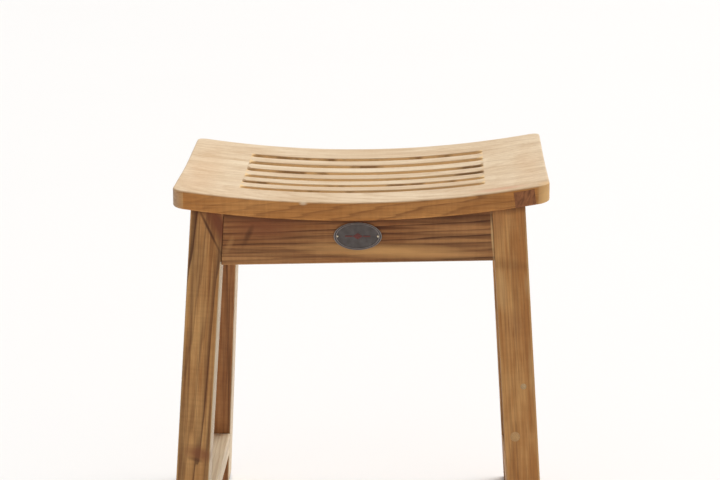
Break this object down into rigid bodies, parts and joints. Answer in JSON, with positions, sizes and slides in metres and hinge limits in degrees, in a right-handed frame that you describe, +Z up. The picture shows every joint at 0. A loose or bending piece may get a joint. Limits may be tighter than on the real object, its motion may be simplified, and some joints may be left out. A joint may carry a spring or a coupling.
{
  "type": "shower stool",
  "caption": "Wooden bathroom stool with a dished, slotted rectangular seat on a mortised frame of splayed square legs, aprons and low side stretchers.",
  "frame": {"origin": "on the floor under the middle of the stool, which is the bottom centre of its box", "axes": "+Z up; +Y from the front, which has the badge, to the back; +X to the right seen from the front, along the seat's long side and its boards"},
  "size_m": [0.4425, 0.3908, 0.4725],
  "materials": {
    "teak_seat": "bare weathered teak, pale and sanded",
    "teak_frame": "bare reclaimed teak, mid brown with dark streaks",
    "teak_pale": "pale teak plug, end grain",
    "teak_dark": "dark teak patch",
    "badge_metal": "dark grey patinated plate",
    "pin_brass": "dull brass",
    "screw_steel": "stainless",
    "foot_rubber": "matt black"
  },
  "bodies": {
    "root": {"apron_back": "teak_frame", "apron_front": "teak_frame", "apron_left": "teak_frame", "apron_right": "teak_frame", "badge_pin_left": "pin_brass", "badge_pin_right": "pin_brass", "badge_plate": "badge_metal", "cleat_screw_left_back": "screw_steel", "cleat_screw_left_front": "screw_steel", "cleat_screw_right_back": "screw_steel", "cleat_screw_right_front": "screw_steel", "foot_pad_back_left": "foot_rubber", "foot_pad_back_right": "foot_rubber", "foot_pad_front_left": "foot_rubber", "foot_pad_front_right": "foot_rubber", "foot_screw_back_left": "screw_steel", "foot_screw_back_right": "screw_steel", "foot_screw_front_left": "screw_steel", "foot_screw_front_right": "screw_steel", "leg_back_left": "teak_frame", "leg_back_right": "teak_frame", "leg_front_left": "teak_frame", "leg_front_right": "teak_frame", "leg_plug_large": "teak_pale", "leg_plug_small": "teak_pale", "rim_screw_back_left": "screw_steel", "rim_screw_back_right": "screw_steel", "rim_screw_front_left": "screw_steel", "rim_screw_front_right": "screw_steel", "seat_back_board": "teak_seat", "seat_cleat_left": "teak_frame", "seat_cleat_right": "teak_frame", "seat_front_board": "teak_seat", "seat_patch": "teak_dark", "seat_screw_left_1": "screw_steel", "seat_screw_left_2": "screw_steel", "seat_screw_left_3": "screw_steel", "seat_screw_left_4": "screw_steel", "seat_screw_left_5": "screw_steel", "seat_screw_right_1": "screw_steel", "seat_screw_right_2": "screw_steel", "seat_screw_right_3": "screw_steel", "seat_screw_right_4": "screw_steel", "seat_screw_right_5": "screw_steel", "seat_slat_1": "teak_seat", "seat_slat_2": "teak_seat", "seat_slat_3": "teak_seat", "seat_slat_4": "teak_seat", "seat_slat_5": "teak_seat", "stretcher_left": "teak_frame", "stretcher_right": "teak_frame"}
  },
  "joints": []
}
